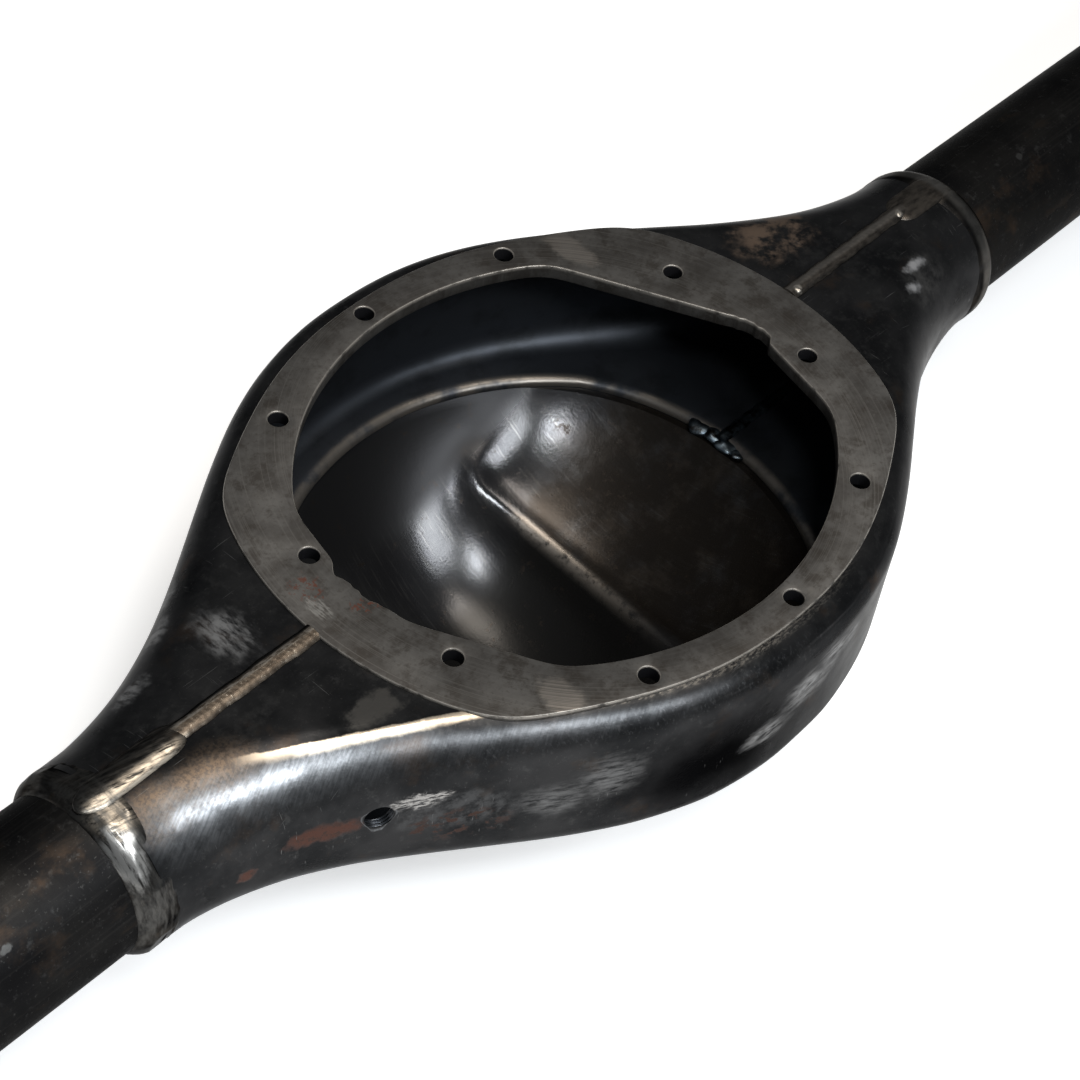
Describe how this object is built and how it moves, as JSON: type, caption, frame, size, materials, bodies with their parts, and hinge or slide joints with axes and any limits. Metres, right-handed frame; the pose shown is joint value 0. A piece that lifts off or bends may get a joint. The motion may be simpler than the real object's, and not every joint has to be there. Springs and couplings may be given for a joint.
{
  "type": "axle housing",
  "caption": "Bare welded banjo axle housing: pressed pan with a drilled carrier face, rear dome and straight axle tubes.",
  "frame": {"origin": "centre of the carrier stud holes, on the face ring's top plane", "axes": "+X along the axle tubes, +Z out of the carrier face"},
  "size_m": [1.31, 0.294, 0.1717],
  "materials": {
    "pressed_sheet": "dark mill-scaled pressed steel with bare ground and scuffed places",
    "face_plate": "dull machined steel plate with light rust specks",
    "dome_sheet": "oiled blackened pressed steel",
    "tube_steel": "black-brown drawn steel tube",
    "weld_bead": "ground weld metal"
  },
  "bodies": {
    "root": {"upper_half_shell": "pressed_sheet", "lower_half_shell": "pressed_sheet", "face_ring": "face_plate", "rear_dome": "dome_sheet", "axle_tube_left": "tube_steel", "axle_tube_right": "tube_steel", "collar_weld_left": "weld_bead", "collar_weld_right": "weld_bead", "front_seam_left": "weld_bead", "front_seam_right": "weld_bead", "rear_seam_left": "weld_bead", "rear_seam_right": "weld_bead", "dome_weld": "weld_bead"}
  },
  "joints": []
}
